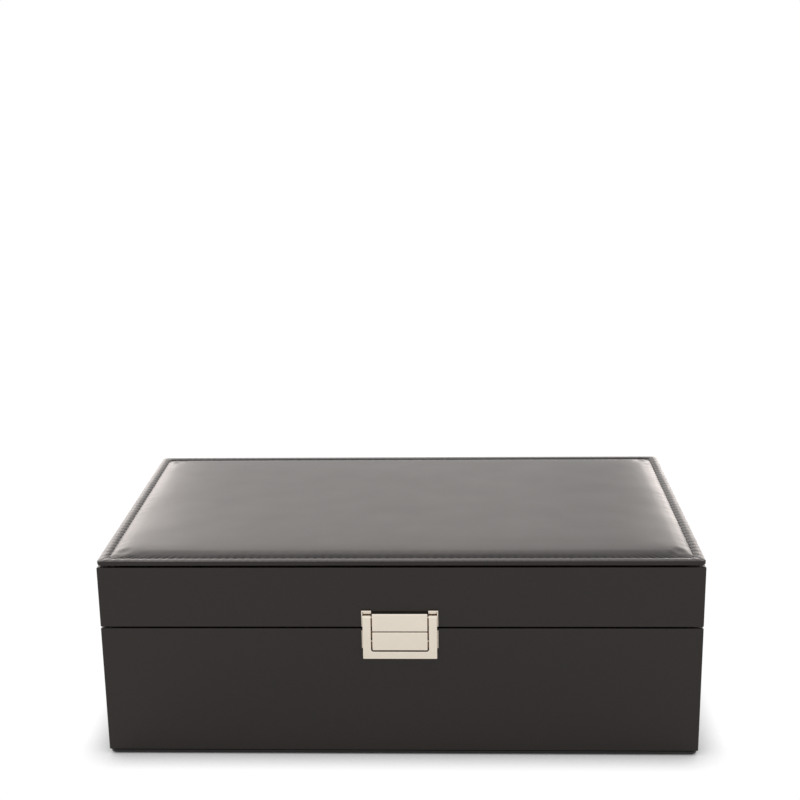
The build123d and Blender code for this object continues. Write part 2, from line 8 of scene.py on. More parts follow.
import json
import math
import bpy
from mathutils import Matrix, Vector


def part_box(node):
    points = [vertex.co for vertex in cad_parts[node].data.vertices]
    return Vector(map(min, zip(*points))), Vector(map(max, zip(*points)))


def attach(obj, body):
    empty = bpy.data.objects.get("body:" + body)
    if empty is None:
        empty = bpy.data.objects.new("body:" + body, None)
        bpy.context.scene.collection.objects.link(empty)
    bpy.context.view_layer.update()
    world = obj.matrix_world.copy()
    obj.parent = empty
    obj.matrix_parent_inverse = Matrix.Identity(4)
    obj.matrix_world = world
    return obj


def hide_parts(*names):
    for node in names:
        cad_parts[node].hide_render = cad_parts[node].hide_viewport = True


bl_info = {
    "name": "Jewellery Box",
    "version": (1, 0, 0),
    "blender": (4, 5, 0),
    "location": "View3D > Sidebar > Jewellery Box",
    "description": "Padded top, stitching, soft pieces, finishes and stage of a jewellery box",
    "category": "Object",
}

import bmesh
import bpy
import numpy as np
from bpy.props import FloatProperty, FloatVectorProperty, IntProperty, PointerProperty
from mathutils import Matrix, Vector

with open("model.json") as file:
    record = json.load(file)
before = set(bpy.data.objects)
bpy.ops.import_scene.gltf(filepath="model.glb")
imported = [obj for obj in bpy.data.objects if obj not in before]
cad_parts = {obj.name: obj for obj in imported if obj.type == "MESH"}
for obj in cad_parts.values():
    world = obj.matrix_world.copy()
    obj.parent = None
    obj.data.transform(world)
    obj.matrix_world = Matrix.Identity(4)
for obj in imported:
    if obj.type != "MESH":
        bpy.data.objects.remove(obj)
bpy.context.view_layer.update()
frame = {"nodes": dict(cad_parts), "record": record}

MM = 0.001
FINISH = "_finish"  # ends the finishes' names, apart from the frame's own plain materials

# Stuffing: Cloth is tuned for garments, so a form is simulated at ten times its size
CLOTH_SCALE = 10
CLOTH_FRAMES = 20
CLOTH_PRESSURE = 4

# Lamps: name, place, width and height, radiance, and whether reflections show it
LAMPS = (
    ("overhead_box", (0.0, -0.25, 1.7), (1.8, 1.2), 1.0, False),
    ("front_box", (-1.2, -2.1, 1.2), (1.2, 1.2), 1.3, False),
    ("back_box", (-1.0, 2.9, 2.0), (3.4, 2.2), 1.12, True),
    ("left_back_box", (-1.24, 2.07, 0.52), (1.3, 0.95), 3.5, True),
    ("right_back_box", (1.12, 2.08, 0.42), (1.3, 0.7), 6.0, True),
)
LAMP_COLOUR = (1.0, 0.915, 0.87)
LAMP_TARGET = Vector((0, 0, 0.06))


# ---- Sizes and colours that a user would change


def length(name, description, default_mm):
    """A length property, given in millimetres and kept in metres."""
    return FloatProperty(
        name=name, description=description, default=default_mm * MM, unit="LENGTH", precision=5
    )


def plain(name, description, default):
    """A plain number, zero or more."""
    return FloatProperty(name=name, description=description, default=default, min=0)


def angle(name, description, default_degrees):
    """An angle property, given in degrees and kept in radians."""
    default = math.radians(default_degrees)
    return FloatProperty(name=name, description=description, default=default, unit="ROTATION")


def whole(name, description, default):
    """A whole number, one or more."""
    return IntProperty(name=name, description=description, default=default, min=1)


def colour(name, description, default):
    """A linear colour property."""
    return FloatVectorProperty(
        name=name, description=description, default=default, subtype="COLOR", size=3, min=0, max=1
    )


class JEWELBOX_PG_pad(bpy.types.PropertyGroup):
    """Sizes of the padded top and its stitching"""

    crease_inset: length("Crease inset", "From the cap's edge to the stitched crease", 4.4)
    turned_under: length("Turned under", "Leatherette folded under the cap's board", 6.6)
    skin: length("Skin", "Thickness of the leatherette", 0.8)
    turned_skin: length("Turned edge", "Leatherette turned in at the lid's rim", 0.25)
    edge_round: length("Edge round", "Radius of the rolled upper edge", 0.45)
    under_round: length("Under round", "Radius of the lower edge", 0.9)
    shoulder: length("Shoulder", "Distance over which the slope beside the crease fades", 5.4)
    shoulder_rise: length("Shoulder rise", "Height of the slope beside the crease", 1.35)
    ease: length("Ease", "Width over which the middle still rises gently", 38.0)
    gentle_rise: length("Gentle rise", "Height of the gentle rise", 0.3)
    stuffing: length("Stuffing", "Most that the padding swells the cover by", 0.55)
    crease_depth: length("Crease depth", "Depth of the crease below the rim", 0.3)
    rim_swell: length("Rim swell", "Height by which the rim bulges between edge and crease", 0.3)
    pucker: length("Pucker", "Depth of the dimple that each stitch pulls beside the crease", 0.17)
    outer_corner: length("Outer corner", "Corner radius of the cap's outline", 2.2)
    crease_corner: length("Crease corner", "Corner radius of the crease", 3.0)
    crown_corner: length("Crown corner", "Corner radius where the slope meets the middle", 12.0)
    stitches_across: whole("Stitches across", "Stitches along a long side", 73)
    stitches_deep: whole("Stitches deep", "Stitches along a short side", 40)
    thread: length("Thread", "Diameter of the sewing thread", 0.5)
    stitch: length("Stitch", "Length of a stitch before it is fitted between its holes", 3.0)
    stitch_gap: length("Stitch gap", "Room between a stitch and the next", 0.7)


class JEWELBOX_PG_tray(bpy.types.PropertyGroup):
    """Sizes of the soft pieces in the sliding tray"""

    rolls: whole("Ring rolls", "Padded rolls side by side", 4)
    roll_gap: length("Roll gap", "Slit between two rolls, where a ring's band goes", 0.4)
    roll_slack: length("Roll slack", "How much smaller a roll is before it is stuffed", 0.6)
    ribbon: length("Ribbon", "Thickness of the pull tab's ribbon", 0.45)


class JEWELBOX_PG_finish(bpy.types.PropertyGroup):
    """Colours of the finishes"""

    leatherette: colour("Leatherette", "Black leatherette", (0.0122, 0.0086, 0.0068))
    thread: colour("Thread", "Sewing thread", (0.008, 0.0075, 0.007))
    board: colour("Bottom board", "Black board under the box", (0.011, 0.01, 0.0095))
    felt: colour("Felt", "Sheet under the bottom board", (0.014, 0.0135, 0.013))
    fibreboard: colour("Fibreboard", "Boards behind the leatherette", (0.36, 0.25, 0.15))
    suede: colour("Suede", "Lining", (0.35, 0.31, 0.27))
    rolls: colour("Ring rolls", "Suede of the ring rolls", (0.4, 0.36, 0.315))
    ribbon: colour("Ribbon", "Pull tab", (0.27, 0.23, 0.19))
    nickel: colour("Nickel", "Pale nickel of the clasp", (0.86, 0.79, 0.68))
    steel: colour("Steel", "Hinges and their screws", (0.62, 0.6, 0.57))
    foam: colour("Foam", "Foam under the leatherette", (0.72, 0.69, 0.6))


class JEWELBOX_PG_stage(bpy.types.PropertyGroup):
    """Light, floor and camera"""

    ambient: plain("Ambient", "World light on matte surfaces", 0.55)
    contact: length("Contact shadow", "Reach of the soft shadow where the box stands", 17.0)
    floor_grey: plain("Floor grey", "The floor's colour as a matte surface", 0.82)
    floor_gleam: plain("Floor gleam", "White added to the floor in reflections", 0.2)
    eye: FloatVectorProperty(
        name="Eye", description="Camera's place", default=(0.02347, -0.67545, 0.33489), precision=5
    )
    focal: plain("Focal length", "Camera's, in millimetres, for a 36 mm wide sensor", 62.644)
    pitch: angle("Pitch", "Camera's tilt down", 15.039)
    yaw: angle("Yaw", "Camera's turn", -2.106)
    roll: angle("Roll", "Camera's roll", -0.838)


# ---- Shader arithmetic


class Value:
    """An output socket in a finish. Sums, products and powers of values add their Math nodes."""

    def __init__(self, finish, socket):
        self.finish = finish
        self.socket = socket

    def _math(self, operation, first, second):
        return self.finish.node("Math", {"operation": operation}, {0: first, 1: second})

    def __add__(self, other):
        return self._math("ADD", self, other)

    __radd__ = __add__

    def __mul__(self, other):
        return self._math("MULTIPLY", self, other)

    __rmul__ = __mul__

    def __pow__(self, other):
        return self._math("POWER", self, other)


class Finish:
    """One material, or the world, built node by node."""

    def __init__(self, name, kind="Material"):
        self.kind = kind
        self.made = getattr(bpy.data, kind.lower() + "s").new(name + FINISH)
        self.made.use_nodes = True
        self.tree = self.made.node_tree
        self.tree.nodes.clear()

    @staticmethod
    def _socket(sockets, key):
        shown = [s for s in sockets if s.enabled]
        if isinstance(key, int):
            return shown[key]
        return next(s for s in shown if s.name == key)

    def node(self, kind, settings=None, sockets=None, output=0):
        """Adds a node: its settings first, then its sockets' values or links. Gives one output."""
        made = self.tree.nodes.new("ShaderNode" + kind)
        for name, value in (settings or {}).items():
            if name == "stops":
                ramp = made.color_ramp
                for place, shade in value[1:-1]:
                    ramp.elements.new(place)
                for element, (place, shade) in zip(ramp.elements, value):
                    element.position = place
                    element.color = (shade, shade, shade, 1)
            else:
                setattr(made, name, value)
        for name, value in (sockets or {}).items():
            socket = self._socket(made.inputs, name)
            if isinstance(value, Value):
                self.tree.links.new(value.socket, socket)
            else:
                socket.default_value = value
        return Value(self, self._socket(made.outputs, output)) if len(made.outputs) else made

    def place(self, stretch=(1, 1, 1), turn=(0, 0, 0)):
        """Object coordinates, stretched or turned for a pattern that runs one way."""
        here = self.node("TexCoord", output="Object")
        if stretch == (1, 1, 1) and turn == (0, 0, 0):
            return here
        sockets = {"Vector": here, "Rotation": turn, "Scale": stretch}
        return self.node("Mapping", sockets=sockets)

    def noise(self, where, size, detail=2, rough=0.5, warp=0):
        """Noise from 0 to 1 with lumps of about that size in metres."""
        sockets = {"Vector": where, "Scale": 1 / size, "Detail": detail}
        sockets |= {"Roughness": rough, "Distortion": warp}
        return self.node("TexNoise", sockets=sockets)

    def cells(self, where, size, feature="F1"):
        """Distance within cells of about that size in metres."""
        sockets = {"Vector": where, "Scale": 1 / size, "Randomness": 1.0}
        return self.node("TexVoronoi", {"feature": feature}, sockets, "Distance")

    def ramp(self, value, *stops):
        """Value through straight steps from one (place, shade) to the next."""
        return self.node("ValToRGB", {"stops": stops}, {"Fac": value}, "Color")

    def blend(self, factor, first, second):
        """Colour from first to second."""
        ends = [end if isinstance(end, Value) else (*end, 1) for end in (first, second)]
        sockets = {"Factor": factor, "A": ends[0], "B": ends[1]}
        return self.node("Mix", {"data_type": "RGBA"}, sockets)

    def bump(self, height, depth, under=None):
        """Normal for a height from 0 to 1 that stands depth metres high."""
        sockets = {"Height": height, "Distance": depth, "Strength": 1.0}
        if under:
            sockets["Normal"] = under
        return self.node("Bump", sockets=sockets)

    def surface(self, **sockets):
        """The Principled shader, with the socket names' spaces written as underscores."""
        sockets = {name.replace("_", " "): value for name, value in sockets.items()}
        return self.output(self.node("BsdfPrincipled", sockets=sockets))

    def output(self, shader):
        """Ends the finish with its shader."""
        self.node("Output" + self.kind, sockets={"Surface": shader})
        return self.made


def tinted(shade, factor):
    """A colour made lighter or darker."""
    return tuple(min(1.0, c * factor) for c in shade)


# ---- Finishes


def leatherette_finish(shade):
    """Coated fabric with a fine pebbled grain, glued over board, so it is also faintly uneven."""
    f = Finish("black_leatherette")
    here = f.place()
    wander = f.noise(here, 2.2 * MM, detail=1)
    shifted = f.node(
        "VectorMath",
        {"operation": "MULTIPLY_ADD"},
        {0: wander, 1: (0.6 * MM, 0.6 * MM, 0.6 * MM), 2: here},
        "Vector",
    )
    pebbles = f.cells(shifted, 0.62 * MM, feature="SMOOTH_F1")
    pores = f.noise(here, 0.22 * MM, detail=2, rough=0.6)
    creases = f.ramp(f.cells(here, 3.4 * MM, feature="DISTANCE_TO_EDGE"), (0.0, 0.0), (0.05, 1.0))
    sag = f.noise(here, 34 * MM, detail=1)
    grain = pebbles * -0.7 + pores * 0.3 + creases * 0.22
    fine = f.bump(grain, 0.02 * MM)
    uneven = f.bump(sag, 0.5 * MM, under=fine)
    handled = f.noise(here, 21 * MM, detail=3, rough=0.6)
    return f.surface(
        Base_Color=f.blend(pebbles, tinted(shade, 1.18), tinted(shade, 0.72)),
        Roughness=0.3 + handled * 0.06 + pores * 0.04,
        IOR=1.44,
        Normal=uneven,
    )


def thread_finish(shade):
    """Bonded thread, two plies twisted together along each stitch's own map."""
    f = Finish("black_thread")
    along = f.node("UVMap", {"uv_map": "twist"})
    turned = f.node("Mapping", sockets={"Vector": along, "Rotation": (0, 0, 0.62)})
    banded = {"wave_type": "BANDS", "bands_direction": "X"}
    sockets = {"Vector": turned, "Scale": 1.6, "Distortion": 0.2}
    plies = f.node("TexWave", banded, sockets, "Fac")
    fibres = f.noise(f.place(), 0.09 * MM)
    return f.surface(
        Base_Color=f.blend(plies, tinted(shade, 0.6), tinted(shade, 1.9)),
        Roughness=0.42 + fibres * 0.15,
        Sheen_Weight=0.15,
        Normal=f.bump(plies * 0.8 + fibres * 0.2, 0.05 * MM),
    )


def suede_finish(name, shade, nap=1.0):
    """Short-pile suede cloth: brushed streaks, a fine pile and slightly lighter raised fibres."""
    f = Finish(name)
    here = f.place()
    swept = f.place(stretch=(1.0, 0.35, 0.7), turn=(0.2, 0.1, 0.5))
    brushed = f.noise(swept, 17 * MM, detail=3, rough=0.55, warp=0.6)
    pile = f.noise(here, 0.35 * MM, detail=3, rough=0.65)
    flecks = f.noise(here, 1.6 * MM, detail=2)
    lie = f.ramp(brushed, (0.32, 0.0), (0.68, 1.0)) * 0.6 + flecks * 0.4
    mixed = f.blend(lie, tinted(shade, 1 - 0.2 * nap), tinted(shade, 1 + 0.12 * nap))
    return f.surface(
        Base_Color=f.blend(f.ramp(pile, (0.3, 0.0), (0.7, 1.0)) * 0.5, mixed, tinted(shade, 0.62)),
        Roughness=0.86 + pile * 0.12,
        IOR=1.36,
        Sheen_Weight=0.35,
        Sheen_Roughness=0.45,
        Normal=f.bump(pile * 0.7 + flecks * 0.3, 0.12 * MM),
    )


def ribbon_finish(shade):
    """Grosgrain ribbon, ribbed across its length."""
    f = Finish("pull_ribbon")
    here = f.place()
    banded = {"wave_type": "BANDS", "bands_direction": "Z"}
    sockets = {"Vector": here, "Scale": 350.0, "Distortion": 0.4}
    sockets |= {"Detail": 1.0, "Detail Scale": 3.0}
    ribs = f.node("TexWave", banded, sockets, "Fac")
    threads = f.noise(f.place(stretch=(1, 1, 0.3)), 0.3 * MM, detail=2)
    return f.surface(
        Base_Color=f.blend(ribs * 0.7 + threads * 0.3, tinted(shade, 0.66), tinted(shade, 1.15)),
        Roughness=0.5 + threads * 0.15,
        Sheen_Weight=0.2,
        Normal=f.bump(ribs * 0.8 + threads * 0.2, 0.1 * MM),
    )


def nickel_finish(shade):
    """Polished pale nickel with a soft haze and hairline marks, and painted shade: brown darkening
    in its corners, recesses and gaps.
    """
    f = Finish("pale_nickel")
    here = f.place()
    reach = {"Distance": 1.5 * MM}
    # Painted shade: ambient occlusion within 1.5 mm finds the corners, recesses and gaps
    recess_shade = f.node("AmbientOcclusion", {"samples": 8}, reach, "AO")
    haze = f.noise(here, 6 * MM, detail=3, rough=0.6)
    hairs = f.noise(f.place(stretch=(0.06, 1, 1), turn=(0, 0.35, 0)), 0.16 * MM, detail=2)
    swell = f.noise(here, 5 * MM, detail=1)
    return f.surface(
        Base_Color=f.blend(
            f.ramp(recess_shade, (0.38, 1.0), (0.72, 0.0)),
            f.blend(haze, tinted(shade, 0.965), tinted(shade, 1.03)),
            # brown of the painted shade in corners, recesses and gaps
            (0.12, 0.06, 0.026),
        ),
        Metallic=1.0,
        Roughness=0.13 + haze * 0.08 + f.ramp(hairs, (0.55, 0.0), (0.8, 1.0)) * 0.08,
        Normal=f.bump(hairs * 0.12 + swell, 0.012 * MM),
    )


def steel_finish(shade):
    """Drawn and tumbled hinge steel, brushed along the hinge."""
    f = Finish("hinge_steel")
    brushed = f.noise(f.place(stretch=(0.04, 1, 1)), 0.14 * MM, detail=3, rough=0.6)
    stains = f.noise(f.place(), 4 * MM, detail=3, rough=0.6)
    return f.surface(
        Base_Color=f.blend(stains, tinted(shade, 0.86), tinted(shade, 1.06)),
        Metallic=1.0,
        Roughness=0.24 + brushed * 0.16 + stains * 0.06,
        Normal=f.bump(brushed, 0.012 * MM),
    )


def mirror_finish():
    """Silvered glass with the faintest film of dust."""
    f = Finish("mirror")
    dust = f.noise(f.place(), 26 * MM, detail=4, rough=0.7)
    return f.surface(
        Base_Color=f.blend(dust, (0.87, 0.885, 0.88), (0.9, 0.91, 0.905)),
        Metallic=1.0,
        Roughness=0.006 + f.ramp(dust, (0.5, 0.0), (0.9, 1.0)) * 0.02,
    )


def board_finish(name, shade, grain_size, depth, roughness):
    """Pressed board: short fibres in a smooth ground, as raw fibreboard or under black paint."""
    f = Finish(name)
    lying = f.place(stretch=(0.3, 1, 1), turn=(0, 0, 0.7))
    fibres = f.noise(lying, grain_size, detail=4, rough=0.65)
    clouds = f.noise(f.place(), 12 * MM, detail=2)
    return f.surface(
        Base_Color=f.blend(fibres * 0.7 + clouds * 0.3, tinted(shade, 0.72), tinted(shade, 1.3)),
        Roughness=roughness + fibres * 0.1,
        IOR=1.42,
        Normal=f.bump(fibres, depth),
    )


def foam_finish(shade):
    """Open-cell foam."""
    f = Finish("foam")
    cells = f.cells(f.place(), 0.8 * MM)
    colours = f.blend(cells, shade, tinted(shade, 0.5))
    return f.surface(Base_Color=colours, Roughness=0.95, Normal=f.bump(cells, 0.3 * MM))


# ---- Modelling helpers


def only(piece):
    """Makes piece the one selected and active object."""
    if bpy.context.object and bpy.context.object.mode != "OBJECT":
        bpy.ops.object.mode_set(mode="OBJECT")
    bpy.ops.object.select_all(action="DESELECT")
    piece.select_set(True)
    bpy.context.view_layer.objects.active = piece
    return piece


def added(kind, **settings):
    """A new primitive, with nothing else selected."""
    bpy.ops.object.select_all(action="DESELECT")
    getattr(bpy.ops.mesh, f"primitive_{kind}_add")(**settings)
    return bpy.context.object


def pick(piece, kind, wanted):
    """In edit mode, selects the edges or faces that a test wants, and nothing else."""
    bpy.ops.mesh.select_all(action="DESELECT")
    cage = bmesh.from_edit_mesh(piece.data)
    for part in getattr(cage, kind):
        part.select = wanted(part)
    bmesh.update_edit_mesh(piece.data)


def smoothed(piece):
    """Shades every face smooth."""
    for polygon in piece.data.polygons:
        polygon.use_smooth = True
    return piece


def settled(piece, name):
    """Names a new piece and puts its place, turn and size into its mesh."""
    only(piece)
    bpy.ops.object.transform_apply(location=True, rotation=True, scale=True)
    piece.name = name
    piece.data.name = name
    return piece


def dressed(piece, material, body):
    """Gives a piece its finish and the body that it moves with."""
    piece.data.materials.clear()
    piece.data.materials.append(bpy.data.materials[material + FINISH])
    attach(piece, body)
    return piece


def applied(piece, kind, **settings):
    """Adds a modifier with its settings and applies it."""
    only(piece)
    modifier = piece.modifiers.new(kind.lower(), kind)
    for name, value in settings.items():
        setattr(modifier, name, value)
    bpy.ops.object.modifier_apply(modifier=modifier.name)
    return piece


def bevelled(piece, width, segments, steeper):
    """Rounds the edges that turn by more than an angle."""
    return applied(
        piece, "BEVEL", width=width, segments=segments, limit_method="ANGLE", angle_limit=steeper
    )


def faced_out():
    """Ends an edit with every face turned outwards."""
    bpy.ops.mesh.select_all(action="SELECT")
    bpy.ops.mesh.normals_make_consistent(inside=False)
    bpy.ops.object.mode_set(mode="OBJECT")


def built(name, points, faces):
    """A mesh object from points and faces."""
    mesh = bpy.data.meshes.new(name)
    mesh.from_pydata([tuple(p) for p in points], [], faces)
    mesh.update()
    piece = bpy.data.objects.new(name, mesh)
    bpy.context.scene.collection.objects.link(piece)
    return piece


def stuffed(piece, most, held=None):
    """Swells a closed form with Cloth under pressure, and caps how far each point moves."""
    scene = bpy.context.scene
    before = [vertex.co.copy() for vertex in piece.data.vertices]
    only(piece)
    piece.data.transform(Matrix.Scale(CLOTH_SCALE, 4))
    cloth = piece.modifiers.new("stuffing", "CLOTH")
    settings = cloth.settings
    settings.quality = 5
    settings.mass = 0.02
    settings.tension_stiffness = 12
    settings.compression_stiffness = 12
    settings.shear_stiffness = 4
    settings.bending_stiffness = 0.4
    settings.use_pressure = True
    settings.uniform_pressure_force = CLOTH_PRESSURE
    settings.effector_weights.gravity = 0
    if held:
        group = piece.vertex_groups.new(name="held")
        group.add(held, 1.0, "REPLACE")
        settings.vertex_group_mass = "held"
    cloth.point_cache.frame_start = 1
    cloth.point_cache.frame_end = CLOTH_FRAMES
    for number in range(1, CLOTH_FRAMES + 1):
        scene.frame_set(number)
    bpy.ops.object.modifier_apply(modifier=cloth.name)
    piece.data.transform(Matrix.Scale(1 / CLOTH_SCALE, 4))
    for vertex, start in zip(piece.data.vertices, before):
        move = vertex.co - start
        vertex.co = start + move * min(1.0, most / max(move.length, 1e-9))
    piece.data.update()
    scene.frame_set(1)
    return piece


# ---- Padded top


class PadShape:
    """The padded top as rings: each is a rounded rectangle at an inset from the cap's outline.

    Columns run across the rings at even steps along the crease, a whole number to a stitch, so
    that the puckers beside each stitch run straight over the rim.
    """

    PER_STITCH = 8  # columns to a stitch
    FLAT_FROM = 12 * MM  # from the crease to the crown's flat middle
    RIM_FAN = 8 * MM  # columns close up over so much of a side's end, on the rim
    CROWN_FAN = 40 * MM  # and on the crown
    SIDE_MARGIN = 0.1 * MM  # rings so near the upright side's ends keep its shading flat
    HALF_CELL = 1.6 * MM  # of the simulated form
    RIM_ROWS = ((0.15, 0.2), (0.35, 0.3), (0.55, 0.45), (0.72, 0.7), (0.84, 1.0), (0.93, 1.0))
    CROWN_ROWS = (0.12, 0.3, 0.6, 1.0, 1.5, 2.1, 2.8, 3.6, 4.6, 5.7, 6.9, 8.2, 9.5, 10.8, 12)

    def __init__(self, pad):
        low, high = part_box("cap_cover")
        self.pad = pad
        self.half = (high.x, high.y)
        self.bottom = low.z
        self.board_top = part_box("cap_board")[1].z
        self.rim = self.board_top + pad.skin
        self.columns = self._columns()
        self.swell = None

    def corner(self, inset):
        """Corner radius of the ring at an inset."""
        pad = self.pad
        if inset <= pad.crease_inset:
            t = max(inset, 0) / pad.crease_inset
            return pad.outer_corner + (pad.crease_corner - pad.outer_corner) * t
        t = min(1.0, (inset - pad.crease_inset) / self.FLAT_FROM)
        return pad.crease_corner + (pad.crown_corner - pad.crease_corner) * t**0.7

    def _columns(self):
        """Each column: its side, half the side's straight part, and how far along it is."""
        found = []
        pad = self.pad
        for side in range(4):
            long_side = side % 2 == 0
            half = self.half[0 if long_side else 1] - pad.crease_inset - pad.crease_corner
            reach = half + pad.crease_corner * math.pi / 4
            count = (pad.stitches_across if long_side else pad.stitches_deep) * self.PER_STITCH
            for k in range(count):
                found.append((side, half, -reach + 2 * reach * k / count))
        return found

    def point(self, column, inset, fan):
        """Where a column crosses a ring. Columns fan out over the last part of a side."""
        side, straight, along = column
        pad = self.pad
        long_side = side % 2 == 0
        half_along, half_out = self.half if long_side else (self.half[1], self.half[0])
        radius = self.corner(inset)
        here = half_along - inset - radius
        size = abs(along)
        if size <= straight:
            steady = straight - fan
            if size > steady:
                size = steady + (size - steady) * (here - steady) / (straight - steady)
            out = half_out - inset
        else:
            turn = (size - straight) / pad.crease_corner
            size = here + radius * math.sin(turn)
            out = half_out - inset - radius + radius * math.cos(turn)
        along = math.copysign(size, along)
        return ((along, -out), (out, along), (-along, out), (-out, -along))[side]

    def crown(self, x, y):
        """Height above the crease: a padded edge that fades into a gentle rise to the middle."""
        pad = self.pad
        edge, gentle = 1.0, 1.0
        for half, place in zip(self.half, (x, y)):
            across = max(0.0, half - pad.crease_inset - abs(place))
            edge *= 1 - math.exp(-across / pad.shoulder)
            gentle *= 1 - (1 - min(1.0, across / pad.ease)) ** 2
        return pad.shoulder_rise * edge + pad.gentle_rise * gentle + self.swelling(x, y)

    def crown_size(self):
        """Half sizes of the crown inside the crease."""
        return [half - self.pad.crease_inset for half in self.half]

    def simulate(self):
        """Stuffs the crown as a closed form held round the crease, and keeps how it swells."""
        half_x, half_y = self.crown_size()
        across, deep = round(half_x / self.HALF_CELL), round(half_y / self.HALF_CELL)
        points, held = [], []
        for side in (1, 0):
            for j in range(deep + 1):
                for i in range(across + 1):
                    x = half_x * (2 * i / across - 1)
                    y = half_y * (2 * j / deep - 1)
                    if i in (0, across) or j in (0, deep) or not side:
                        held.append(len(points))
                    points.append((x, y, self.crown(x, y) if side else -MM))
        grid = (across + 1) * (deep + 1)
        faces = []
        for j in range(deep):
            for i in range(across):
                a = j * (across + 1) + i
                quad = (a, a + 1, a + across + 2, a + across + 1)
                faces += [quad, tuple(grid + k for k in reversed(quad))]
        border = list(range(across))
        border += [across + j * (across + 1) for j in range(deep)]
        border += [deep * (across + 1) + i for i in range(across, 0, -1)]
        border += [j * (across + 1) for j in range(deep, 0, -1)]
        for a, b in zip(border, border[1:] + border[:1]):
            faces.append((b, a, a + grid, b + grid))
        form = stuffed(built("crown_form", points, faces), self.pad.stuffing, held)
        rise = [form.data.vertices[k].co.z - points[k][2] for k in range(grid)]
        bpy.data.objects.remove(form)
        self.swell = np.array(rise).reshape(deep + 1, across + 1)

    def swelling(self, x, y):
        """How far the stuffing lifts the cover at a place."""
        if self.swell is None:
            return 0.0
        half_x, half_y = self.crown_size()
        deep, across = (n - 1 for n in self.swell.shape)
        u = min(max((x / half_x + 1) / 2, 0.0), 1.0) * across
        v = min(max((y / half_y + 1) / 2, 0.0), 1.0) * deep
        i, j = min(int(u), across - 1), min(int(v), deep - 1)
        u, v = u - i, v - j
        near = self.swell[j, i] * (1 - u) + self.swell[j, i + 1] * u
        far = self.swell[j + 1, i] * (1 - u) + self.swell[j + 1, i + 1] * u
        return float(near * (1 - v) + far * v)

    def rows(self):
        """(inset, height, pucker share) of each ring, from round the board out, up and over."""
        pad = self.pad
        rows = [
            (pad.skin, self.board_top, 0),
            (pad.skin, self.bottom + pad.skin, 0),
            (pad.turned_under, self.bottom + pad.skin, 0),
            (pad.turned_under, self.bottom, 0),
        ]
        for step in range(5):
            turn = math.radians(90 * step / 4)
            inset = pad.under_round * (1 - math.sin(turn))
            rows.append((inset, self.bottom + pad.under_round * (1 - math.cos(turn)), 0.0))
        rows.append((0, self.bottom + pad.under_round + self.SIDE_MARGIN, 0))
        rows.append((0, self.rim - pad.edge_round - self.SIDE_MARGIN, 0))
        for step in range(6):
            turn = math.radians(90 * step / 5)
            inset = pad.edge_round * (1 - math.cos(turn))
            rows.append((inset, self.rim - pad.edge_round * (1 - math.sin(turn)), 0.15 * step / 5))
        rim_end = pad.crease_inset
        for t, share in self.RIM_ROWS:
            inset = pad.edge_round + (rim_end - pad.edge_round) * t
            swell = pad.rim_swell * math.sin(math.pi * t) ** 0.8
            dip = pad.crease_depth * max(0.0, (t - 0.78) / 0.22) ** 2.5
            rows.append((inset, self.rim + swell - dip, share))
        rows.append((rim_end, self.rim - pad.crease_depth, 0.4))
        for step in self.CROWN_ROWS:
            share = max(0.0, 1 - step / 2.4) * (0.5 + 0.5 * min(1, step / 0.5))
            rows.append((rim_end + step * MM, self.rim - pad.crease_depth, share))
        return rows


def pucker_strengths(count, seed):
    """How hard each stitch pulls, a little uneven from stitch to stitch."""
    random = np.random.default_rng(seed)
    raw = random.uniform(0.55, 1.35, count)
    return 0.6 * raw + 0.4 * (np.roll(raw, 1) + np.roll(raw, -1)) / 2


def pad_mesh(pad):
    """Points and faces of the padded top, closed round the board that it covers."""
    shape = PadShape(pad)
    shape.simulate()
    rows = shape.rows()
    columns = shape.columns
    count = len(columns)
    per = shape.PER_STITCH
    strengths = pucker_strengths(count // per, 7)
    points = []
    crease_row = next(i for i, r in enumerate(rows) if abs(r[0] - pad.crease_inset) < 1e-7)
    for number, (inset, height, share) in enumerate(rows):
        fan = shape.RIM_FAN if number <= crease_row else shape.CROWN_FAN
        for k, column in enumerate(columns):
            x, y = shape.point(column, inset, fan)
            phase = (k % per) / per
            pull = (0.5 + 0.5 * math.cos(2 * math.pi * phase)) ** 1.5
            nearest = strengths[int(round(k / per)) % len(strengths)]
            lift = shape.crown(x, y) if number > crease_row else 0
            points.append((x, y, height + lift - pad.pucker * share * pull * nearest))
    faces = []
    for a in range(0, (len(rows) - 1) * count, count):
        for k in range(count):
            n = (k + 1) % count
            faces.append((a + k, a + n, a + count + n, a + count + k))
    faces.append(tuple(range(count - 1, -1, -1)))
    # The flat middle has one column to a stitch: a ring of fans, then a patch of quads
    last = (len(rows) - 1) * count
    few = count // per
    inner = len(points)
    inset = rows[-1][0] + 1.5 * MM
    for j in range(few):
        x, y = shape.point(columns[j * per], inset, shape.CROWN_FAN)
        points.append((x, y, 0))
    for j in range(few):
        i, i_next = inner + j, inner + (j + 1) % few
        outer = [last + (j * per + s) % count for s in range(per + 1)]
        middle = per // 2
        for s in range(middle):
            faces.append((outer[s], outer[s + 1], i))
        faces.append((outer[middle], i_next, i))
        for s in range(middle, per):
            faces.append((outer[s], outer[s + 1], i_next))
    faces += patch(points, inner, pad.stitches_across, pad.stitches_deep)
    for number in range(inner, len(points)):
        x, y, _ = points[number]
        points[number] = (x, y, shape.rim - pad.crease_depth + shape.crown(x, y))
    return points, faces


